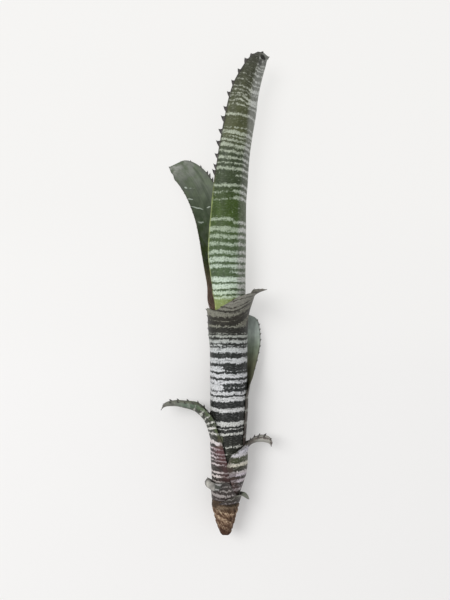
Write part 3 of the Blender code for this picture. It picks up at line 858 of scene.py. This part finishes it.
def leaf_skin(name, skin, scurf, bands, rim, rim_colour, left_bands=(), right_bands=(),
              middle=0.0, rim_reach=None, bend=None, side_tone_and_sheen=None, stains_and_shade=None,
              dusting=0.25, gloss=0.45, wave=0.45, soft=0.18):
    """Outer skin of a leaf: green, with frayed bands of pale scurf laid across it.

    skin, scurf and rim_colour are colours along the leaf. left_bands and right_bands lie on
    one side of the line at distance middle across the leaf. rim is the share of the margin's
    colour by distance from the margin, and rim_reach how far that share reaches in along the
    leaf. bend bends the bands near the tip: by how much, with what share across the leaf, and
    between which heights. side_tone_and_sheen has the skin's and the scurf's colour on the
    right, greyer and paler, partly the leaf's own tone and partly painted sheen, where they
    begin across the leaf, and the skin's share of them, both along the leaf. stains_and_shade
    is a colour and the ovals that it fills: painted shade in a hollow on one leaf, a pale patch
    of the leaf's own colour on another. dusting is how much scurf lies between the bands,
    gloss the bare skin's roughness, wave how far the bands waver and soft how blurred their
    edges are.
    """
    look = Look(name, specular=0.25)
    across, at, edge = look.place
    moved = at + look.sway(look.noise((14, 30), 1), 0.7)
    moved = moved + look.sway(look.noise((2.4, 5), 2, 3), wave)
    if bend:
        moved = moved + look.bend(*bend)
    mask = look.bands(moved, bands)
    if left_bands or right_bands:
        ragged = across + look.sway(look.noise((2, 2), 2, 5), 1.8)
        for side_bands, reach in ((left_bands, -SIDE_FADE), (right_bands, SIDE_FADE)):
            if side_bands:
                side = look.between(ragged, middle - reach, middle + reach)
                mask = mask + look.bands(moved, side_bands) * side
    grain = look.sway(look.noise((1.6, 0.9), 4, 11), 0.42)
    comb = look.sway(look.noise((1.1, 3.4), 3, 13), 0.30)
    drift = look.sway(look.noise((8, 4), 1, 53), 0.20)
    mask = look.between(mask + (grain + comb + drift), SCURF_LEVEL - soft, SCURF_LEVEL + soft)
    breaks = look.between(look.noise((6, 1.1), 3, 43, over=(across, moved)), 0.56, 0.66)
    mask = mask * (1.0 - breaks * 0.6)
    holes = look.between(look.noise((1.2, 0.7), 1, 17), 0.60, 0.70)
    mask = mask * (1.0 - holes * 0.7)
    dust = look.between(look.noise((2.4, 0.5), 3, 23), 0.53, 0.75)
    mask = look.math("ADD", mask, dust * dusting, clamp=True)

    skin_colour = look.steps(at, skin)
    scurf_colour = look.steps(at, scurf)
    # A greyer, paler right side: partly the leaf's own tone and partly painted sheen.
    if side_tone_and_sheen:
        skin_there, scurf_there, start, skin_share = side_tone_and_sheen
        share = look.between(across - look.distances(at, start), -FLANK_FADE, FLANK_FADE)
        scurf_colour = look.mix(share, scurf_colour, scurf_there)
        skin_colour = look.mix(share * look.steps(at, skin_share), skin_colour, skin_there)
    mottle = look.noise((4, 6), 3, 29)
    skin_colour = look.mottled(skin_colour, mottle, 0.26)
    skin_colour = look.mottled(skin_colour, look.noise((0.4, 12), 2, 30), 0.16)
    streaks = look.noise((0.5, 1.6), 3, 31)
    scurf_colour = look.shade(scurf_colour, look.sway(streaks, 0.30) + 0.98)
    colour = look.mix(mask, skin_colour, scurf_colour)
    # Ovals of colour: painted shade in a hollow on some leaves, a pale patch of the leaf's own
    # colour on one.
    if stains_and_shade:
        colour = look.mix(look.spots(at, stains_and_shade[1]), colour, stains_and_shade[0])
    ragged_edge = edge + look.sway(streaks, 0.8)
    if rim_reach:
        ragged_edge = ragged_edge + look.sway(look.noise((3, 2), 3, 71), 3.2)
        ragged_edge = look.math("DIVIDE", ragged_edge, look.steps(at, rim_reach))
    share = look.steps(ragged_edge, rim) * (1.0 - mask * 0.35)
    colour = look.mix(share, colour, look.mottled(look.steps(at, rim_colour), mottle, 0.5))
    height = look.noise((0.5, 25), 2, 37) * 0.9 + mask * 0.35
    height = height + look.noise((0.5, 0.5), 3, 41) * 0.5
    return look.finish(colour, mask * 0.38 + gloss, height, 0.5)


def inner_skin(name, skin, marks=(), scurf=None, bend=None, tint=None, stains_and_shade=None,
               mottling=0.22, rim=0.6):
    """Inner face of a leaf: plain, with faint veins and at most a few short pale marks.

    skin, bend and stains_and_shade are as in leaf_skin; here those ovals are painted shade in
    hollows and creases. marks are ovals in the scurf's colour. tint is a colour for patches of
    the skin, and the heights where they begin and are at their fullest. rim is how dark the
    margin is.
    """
    look = Look(name, specular=0.3)
    at, edge = look.place[1:]
    colour = look.steps(at, skin)
    if tint:
        tint_colour, low, high = tint
        patches = look.between(look.noise((5, 8), 2, 61), 0.42, 0.62)
        colour = look.mix(patches * look.between(at, low, high), colour, tint_colour)
    colour = look.mottled(colour, look.noise((4, 5), 4, 2), mottling)
    veins = look.noise((0.6, 30), 2, 13)
    colour = look.mottled(colour, veins, 0.16)
    # Ovals of painted shade in hollows and creases.
    if stains_and_shade:
        colour = look.mix(look.spots(at, stains_and_shade[1]), colour, stains_and_shade[0])
    if marks:
        moved = at + look.sway(look.noise((3, 6), 2, 4), 0.4)
        if bend:
            moved = moved + look.bend(*bend)
        worn = look.sway(look.noise((1.4, 0.6), 3, 19), 0.25)
        mask = look.between(look.spots(moved, marks) + worn, 0.25, 0.85)
        colour = look.mix(mask, colour, scurf)
    colour = look.shade(colour, look.steps(edge, {0: rim, 0.7: 0.85, 1.6: 1}))
    height = veins + look.noise((0.6, 0.6), 3, 6) * 0.4
    return look.finish(colour, 0.55, height, 0.4)


def spine_skin(name, base, point):
    """Horny spine, darker from its base to its point."""
    look = Look(name)
    colour = look.steps(look.place[2], {-1: point, -0.45: point, 0: base})
    return look.finish(colour, 0.45)


def stem_skin(name):
    """Dry, fibrous bark of old leaf bases: palest at the torn edges of old scales and dark between
    them, partly the bark's own colour and partly painted highlight and shade.
    """
    look = Look(name, specular=0.25)
    turned, at, scale = look.place
    slanted = turned - at * 0.5
    fibres = look.noise((0.9, 7), 4, 1, over=(slanted, at))
    patches = look.noise((4, 3), 3, 9, over=(slanted, at))
    # The scale share lightens the torn edges of old scales: partly their own paler colour, partly
    # painted highlight there and painted shade between them.
    level = fibres + look.sway(patches, 0.12) + (scale * 0.34 - 0.11)
    colour = look.steps(level, {0.22: (38, 24, 16), 0.40: (84, 62, 44), 0.52: (120, 96, 76),
                                0.66: (168, 142, 118), 0.82: (212, 192, 160)})
    ends = look.steps(at + look.sway(patches, 0.8), {0: 0.9, 4: 0.65, 10: 0.3, 15: 0})
    colour = look.mix(ends, colour, (58, 32, 20))
    shaded = look.steps(at + look.sway(patches, 1.5), {17.5: 0, 21.5: 0.65})
    colour = look.mix(shaded, colour, (60, 53, 42))
    return look.finish(colour, 0.85, fibres, 0.9)


def build_camera():
    """Camera straight above the plant, with the photograph's framing."""
    data = bpy.data.cameras.new("camera")
    data.sensor_fit = "VERTICAL"
    data.sensor_height = SENSOR
    data.lens = SENSOR / 2.0 * CAMERA_PLACE.z / HALF_FRAME
    data.clip_start = 0.01
    data.clip_end = 20.0
    camera = show("camera", data)
    camera.location = AXIS + CAMERA_PLACE * MM
    bpy.context.scene.camera = camera


def build_floor():
    """Pale surface that the plant lies on, which glows, more towards the tall leaf: painted light
    that keeps the plant's shadow pale.
    """
    mesh = bpy.data.meshes.new("floor")
    turns = ((-1, -1), (1, -1), (1, 1), (-1, 1))
    mesh.from_pydata([(x * FLOOR_HALF, y * FLOOR_HALF, 0.0) for x, y in turns], [],
                     [(0, 1, 2, 3)])
    floor = show("floor", mesh)
    floor.location = (0.0, 0.0, -FLOOR_DROP)
    places = mesh.attributes.new("place", "FLOAT_VECTOR", "POINT")
    for vertex, place in zip(mesh.vertices, places.data):
        place.vector = (0.0, (vertex.co.y - AXIS.y) / MM, 0.0)
    look = Look("floor")
    glow = look.steps(look.place[1], FLOOR_GLOW)
    white, black = (242, 241, 239), (0, 0, 0)
    look.set(look.shader.inputs["Emission Color"], look.mix(glow, black, white))
    look.shader.inputs["Emission Strength"].default_value = 1.0
    mesh.materials.append(look.finish(look.mix(glow, white, black), 0.9))


def build_light():
    """Soft pale surroundings and one large soft light from the upper left."""
    world = bpy.data.worlds.new("surroundings")
    world.use_nodes = True
    background = world.node_tree.nodes["Background"]
    background.inputs["Color"].default_value = tone(252, 252, 254)
    background.inputs["Strength"].default_value = SURROUNDINGS
    bpy.context.scene.world = world
    bpy.context.scene.view_settings.view_transform = "Standard"
    data = bpy.data.lights.new("window", "AREA")
    data.energy = LAMP_ENERGY
    data.shape = "DISK"
    data.size = LAMP_SIZE
    lamp = show("window", data)
    lamp.location = LAMP_PLACE
    lamp.rotation_euler = (-LAMP_PLACE).to_track_quat("-Z", "Y").to_euler()


# What leaf_skin and inner_skin take for each leaf. Heights, widths and reaches are in
# millimetres, and strengths and shares are from 0 to 1.

TALL_OUTER = dict(
    skin={160: (141, 152, 90), 168.5: (128, 144, 82), 172: (72, 90, 60), 200: (64, 82, 50),
          218: (62, 80, 42), 230: (54, 74, 18), 238: (52, 70, 22), 250: (50, 62, 36),
          270: (54, 64, 42), 286: (76, 80, 50), 304: (68, 72, 46), 334: (60, 62, 48),
          346: (62, 60, 56)},
    scurf={165: (184, 200, 166), 180: (200, 215, 198), 206: (170, 184, 164), 215: (158, 172, 148),
           250: (166, 176, 156), 300: (177, 182, 164), 340: (184, 184, 176)},
    bands=((319.8, 1, 0.5), (314.9, 1.2, 0.55), (312.3, 1.4, 0.5), (308.2, 1.5, 0.7),
           (305.6, 1.1, 0.75), (303.4, 0.9, 0.65), (297.4, 2, 1), (285, 2.5, 1), (282.2, 1.1, 0.65),
           (279.3, 1.8, 0.8), (275.7, 2.7, 0.85), (271.4, 2.2, 0.75), (267.1, 2.2, 0.85),
           (263.4, 1.3, 0.7), (259.7, 2, 1), (248.3, 2, 0.95), (217.9, 3.6, 1), (212.9, 2.7, 0.9),
           (207.8, 2.8, 0.75), (202.2, 2.9, 0.8), (197, 3.4, 1), (192.2, 2.8, 0.85),
           (182.9, 3.6, 1), (178, 3.6, 1), (173.6, 2.5, 1), (170.1, 2, 0.9)),
    left_bands=((323.6, 0.8, 0.5), (309.9, 0.9, 0.7), (288.2, 1, 0.6), (243.8, 1.4, 0.6),
                (239, 1.3, 0.6), (224.6, 2.4, 0.8)),
    right_bands=((338, 3.4, 0.55), (334.2, 1.2, 0.6), (331.8, 0.9, 0.7), (330.2, 0.8, 0.75),
                 (326.9, 1.8, 0.7), (322.8, 1.8, 0.8), (319.4, 0.8, 0.5), (315.4, 3.2, 0.8),
                 (307.2, 3.4, 0.85), (302.6, 1, 0.6), (288.8, 1.1, 0.75), (255, 1.8, 0.85),
                 (244.1, 2.2, 0.9), (239.8, 2.6, 0.95), (233, 0.8, 0.45), (223.3, 2.2, 0.9),
                 (188.1, 2, 0.7)),
    rim={0: 1, 0.8: 0.8, 1.7: 0},
    rim_colour={162: (160, 170, 104), 206: (150, 162, 104), 240: (126, 138, 84), 250: (88, 92, 62),
                256: (56, 56, 46), 344: (50, 48, 46)},
    bend=(3, {-22: 0.65, -14: 0.75, -11: 0.5, -8: 0.15, -5: 0, -2: 0.27, 2.5: 0.87, 8: 1}, 300, 311),
    # Greyer, paler right side: partly the leaf's own scurf and partly painted sheen.
    side_tone_and_sheen=((132, 134, 127), (196, 198, 192),
           {160: -3, 240: -3, 286: -3.5, 300: -5.8, 326: -6.7, 345: -6},
           {160: 0.25, 262: 0.3, 276: 0.5, 300: 0.85, 345: 0.75}),
    # Dark ovals near the tip: painted shade in the hollow of the hooded tip.
    stains_and_shade=((30, 29, 25), ((-4.6, 340.4, 2.2, 1.6, 0.95), (-5.6, 336.6, 1.5, 3.2, 0.6),
                           (-1, 339, 2.6, 2.4, 0.4), (-13, 338.6, 3, 3, 0.25))),
    middle=-8, dusting=0.3, gloss=0.5, wave=0.4, soft=0.4,
)
TALL_INNER = dict(
    # Dark towards the tip: painted shade inside the hollow of the hooded tip.
    skin={160: (96, 112, 70), 300: (84, 96, 70), 336: (52, 48, 42), 345: (38, 34, 30)},
)

BACK_LEFT_OUTER = dict(
    skin={130: (84, 66, 60), 172: (92, 78, 66), 200: (80, 88, 70), 270: (110, 114, 104)},
    scurf={130: (226, 226, 216), 270: (170, 175, 165)},
    bands=((262, 1.4, 0.6), (250, 1.6, 0.6), (238, 1.6, 0.7), (225, 1.8, 0.7), (212, 1.8, 0.7),
           (200, 2, 0.7), (188, 2, 0.7)),
    rim={0: 0.9, 1.4: 0.7, 3: 0},
    rim_colour={130: (92, 66, 58), 200: (88, 70, 60), 276: (110, 108, 100)},
)
BACK_LEFT_INNER = dict(
    # Below 186 the skin is far paler than the leaf's reddish-brown strip there: painted light that
    # lifts it out of the shade between the leaves. Paler towards the tip: partly the leaf's greyer
    # tip, partly painted highlight.
    skin={150: (228, 196, 182), 176: (222, 190, 174), 186: (160, 150, 118), 196: (92, 104, 58),
          208: (76, 90, 52), 228: (74, 88, 64), 248: (88, 97, 80), 262: (100, 106, 94),
          270: (120, 124, 114), 277: (142, 144, 136)},
    marks=((8, 254.2, 1.1, 1, 0.8), (4.2, 253.6, 2.6, 0.45, 0.45), (9.6, 243.4, 2.4, 0.7, 0.8),
           (7.2, 236.2, 5.2, 0.6, 0.8), (-2, 236.6, 1.8, 0.55, 0.7), (7.5, 226.7, 3, 0.6, 0.75)),
    bend=(6, {-12: 0, 2: 0.1, 12: 1}, 222, 240),
    # Dark green streaks: painted shade along a fold of the blade.
    stains_and_shade=((52, 64, 44), ((-6.4, 261, 0.9, 8, 0.5), (-4.2, 248, 1.2, 8, 0.5),
                           (-1.5, 236, 3.4, 9, 0.5), (-5, 222, 3.4, 10, 0.5))),
    scurf=(186, 196, 184), tint=((94, 104, 84), 186, 202),
)

FRONT_OUTER = dict(
    skin={60: (40, 42, 32), 70: (30, 31, 26), 105: (33, 36, 35), 135: (34, 38, 34),
          152: (38, 36, 30), 160: (50, 47, 40), 172: (70, 67, 60), 184: (80, 76, 70)},
    scurf={60: (196, 196, 186), 110: (206, 207, 209), 132: (194, 197, 196), 138: (182, 186, 182),
           145: (156, 159, 150), 152: (122, 121, 108), 166: (131, 130, 119), 184: (144, 142, 134)},
    stains_and_shade=((168, 174, 140), ((-18, 69, 1.6, 4, 0.6),)),
    bands=((178, 2.4, 0.9), (173.5, 3.4, 0.9), (169, 4.4, 0.95), (164.8, 2.2, 0.9),
           (159.6, 5.2, 0.8), (154.4, 0.9, 0.5), (150.3, 1.7, 0.85), (145.2, 1, 0.6),
           (143, 2, 0.85), (139.4, 2.6, 0.9), (133, 3.7, 1), (125.9, 3.7, 1), (118.9, 0.8, 0.55),
           (115.6, 2.9, 1), (111.3, 2.3, 1), (103.1, 2.6, 0.95), (98.8, 3.4, 1), (91.2, 2.9, 1),
           (81.6, 3.2, 1), (78.2, 1.2, 0.65), (74.5, 2.1, 0.95), (65, 1.9, 0.6), (60.1, 1.4, 0.5),
           (50, 1.6, 0.6)),
    left_bands=((136.3, 1.4, 0.8), (120.4, 3.4, 0.85), (107.4, 4.4, 1)),
    right_bands=((136.2, 1.2, 0.55), (107.3, 1.4, 0.45)),
    rim={0: 0.7, 0.6: 0.4, 1.4: 0},
    rim_colour={140: (66, 60, 52), 184: (90, 84, 76)},
    bend=(10.4, {-14: 0, 12: 1}, 148, 158),
    middle=-18, dusting=0.3,
)
FRONT_INNER = dict(skin={140: (110, 112, 98), 186: (116, 112, 104)})

BACK_RIGHT_OUTER = dict(
    skin={60: (56, 52, 46), 105: (62, 62, 52), 158: (100, 110, 100)},
    scurf={60: (180, 180, 172), 158: (184, 190, 184)},
    bands=((150, 2, 0.7), (142, 2.4, 0.8), (133, 2.2, 0.8), (125, 2.4, 0.8), (117, 2.2, 0.8),
           (108, 2.4, 0.8), (99, 2.4, 0.8), (90, 2.6, 0.8), (81, 2.4, 0.8), (72, 2.4, 0.8),
           (64, 2.2, 0.8)),
    rim={0: 0.95, 2.2: 0.85, 4.5: 0},
    rim_colour={60: (60, 50, 46), 110: (66, 60, 50), 158: (76, 80, 72)},
)
BACK_RIGHT_INNER = dict(
    # Palest near 146: painted highlight near the top of the blade.
    skin={108: (120, 120, 96), 122: (132, 134, 108), 134: (146, 158, 138), 146: (200, 211, 202),
          158: (172, 182, 174)},
)

ARCHING_LEFT_OUTER = dict(
    skin={36: (50, 46, 40), 62: (46, 43, 40), 74: (50, 52, 42), 90: (58, 60, 50), 102: (72, 72, 64),
          120: (112, 108, 100)},
    scurf={36: (204, 196, 188), 56: (206, 194, 196), 64: (206, 192, 196), 70: (212, 208, 204),
           85: (196, 197, 188), 104: (172, 170, 162), 120: (160, 156, 148)},
    bands=((84, 1.3, 0.8), (80.6, 1.4, 0.9), (77.2, 1.5, 0.9), (74, 1.9, 0.9), (67.9, 2.8, 1),
           (63.6, 1.4, 0.85), (60.3, 1.5, 0.85), (57.5, 1.4, 0.85), (55, 1.2, 0.8),
           (52.2, 1.5, 0.9), (46.9, 1.5, 1), (43.9, 1.6, 1), (40, 1.5, 0.8), (37, 1.5, 0.8),
           (88, 1.8, 0.9), (93.2, 1.4, 0.8), (97.4, 1.6, 0.85), (102, 1.3, 0.7), (107, 1.4, 0.7)),
    rim_reach={34: 1.1, 50: 1, 56: 1.3, 64: 1.4, 67: 0.35, 78: 0.25, 88: 0.3, 95: 0.75, 120: 0.6},
    rim={0: 1, 4.5: 0.85, 8: 0},
    rim_colour={34: (64, 48, 46), 52: (72, 50, 48), 63: (90, 60, 62), 67: (80, 66, 54),
                74: (66, 74, 46), 88: (76, 88, 62), 98: (100, 116, 100), 108: (106, 108, 98),
                120: (124, 120, 112)},
    dusting=0.35,
)
ARCHING_LEFT_INNER = dict(skin={60: (104, 112, 82), 84: (98, 106, 82), 120: (134, 134, 124)})

ARCHING_RIGHT_OUTER = dict(
    skin={32: (48, 42, 38), 48: (46, 42, 36), 57: (66, 70, 48), 64: (70, 64, 60),
          68: (104, 100, 92), 71: (158, 157, 149), 86: (168, 164, 156)},
    scurf={32: (196, 186, 186), 46: (200, 191, 197), 52: (206, 201, 184), 57: (204, 200, 196),
           62: (200, 198, 206), 70: (186, 186, 180), 86: (184, 182, 176)},
    bands=((61, 5.2, 0.85), (53, 3, 0.95), (46.2, 3.8, 0.95), (41, 2.2, 0.95), (37.4, 1, 0.6),
           (34.6, 2.2, 0.85)),
    rim_reach={30: 1.5, 48: 1.2, 58: 0.4, 64: 0.5, 86: 0.4},
    rim={0: 1, 2.8: 0.8, 5: 0},
    rim_colour={30: (70, 52, 50), 52: (74, 62, 54), 60: (70, 74, 58), 66: (84, 76, 70),
                86: (108, 100, 94)},
    dusting=0.6,
)
ARCHING_RIGHT_INNER = dict(
    skin={60: (104, 100, 92), 72: (150, 148, 140), 86: (164, 161, 154)},
    mottling=0.5,
)

EAR_OUTER = dict(
    skin={27: (50, 42, 40), 33: (60, 53, 50), 46: (84, 80, 76)},
    scurf={27: (156, 148, 146), 46: (164, 160, 154)},
    bands=((27.4, 0.8, 0.6), (30.6, 2.4, 0.85), (34.4, 1.4, 0.85), (37, 1.2, 0.8), (40.6, 1.4, 0.7)),
    rim={0: 0.6, 0.8: 0.3, 1.6: 0},
    rim_colour={26: (62, 54, 52), 48: (84, 82, 78)},
    wave=0.8, dusting=0.4,
)
EAR_INNER = dict(
    skin={34: (80, 78, 74), 39: (140, 139, 132), 42: (150, 148, 141), 50: (160, 157, 151)},
    # Dark ovals: painted shade in the hollow of the rolled back blade.
    stains_and_shade=((62, 65, 58), ((5.6, 40, 4.6, 3.4, 0.9), (6.2, 45, 4.6, 4, 0.9))),
    marks=((6, 41, 4, 0.6, 0.8), (6, 43.8, 4, 0.6, 0.8), (6, 46.6, 4, 0.6, 0.8)),
    scurf=(150, 148, 146), mottling=0.6,
)

LOWEST_OUTER = dict(
    skin={25: (48, 40, 38), 29: (66, 62, 54), 31: (146, 148, 134), 36: (158, 161, 148)},
    scurf={25: (146, 138, 136), 36: (190, 190, 180)},
    bands=((25.4, 1.2, 0.6), (28.4, 0.9, 0.7), (30.4, 0.9, 0.7)),
    rim={0: 0.6, 0.8: 0.3, 1.6: 0},
    rim_colour={24: (62, 54, 52), 36: (84, 88, 78)},
    wave=0.7, dusting=0.4,
)
LOWEST_INNER = dict(
    skin={26: (104, 112, 94), 36: (138, 142, 128)},
    rim=0.4,
)

# Each leaf with its outer skin, its inner skin, and the colours of a spine's base and point.
LEAVES = (
    (LOWEST, LOWEST_OUTER, LOWEST_INNER, (80, 78, 70), (56, 54, 50)),
    (EAR, EAR_OUTER, EAR_INNER, (84, 80, 76), (56, 52, 50)),
    (ARCHING_RIGHT, ARCHING_RIGHT_OUTER, ARCHING_RIGHT_INNER, (84, 80, 72), (56, 52, 50)),
    (ARCHING_LEFT, ARCHING_LEFT_OUTER, ARCHING_LEFT_INNER, (84, 86, 74), (58, 56, 52)),
    (BACK_RIGHT, BACK_RIGHT_OUTER, BACK_RIGHT_INNER, (72, 72, 66), (50, 48, 46)),
    (FRONT, FRONT_OUTER, FRONT_INNER, (84, 80, 72), (58, 54, 52)),
    (BACK_LEFT, BACK_LEFT_OUTER, BACK_LEFT_INNER, (76, 72, 66), (46, 44, 42)),
    (TALL, TALL_OUTER, TALL_INNER, (66, 60, 54), (34, 31, 32)),
)

for leaf, outer, inner, base, point in LEAVES:
    build_leaf(leaf, (
        leaf_skin(leaf["name"] + "_outer", **outer),
        inner_skin(leaf["name"] + "_inner", **inner),
        spine_skin(leaf["name"] + "_spines", base, point),
    ))

build_stem([entry[0] for entry in LEAVES], (stem_skin("stem"),))

build_camera()
build_floor()
build_light()
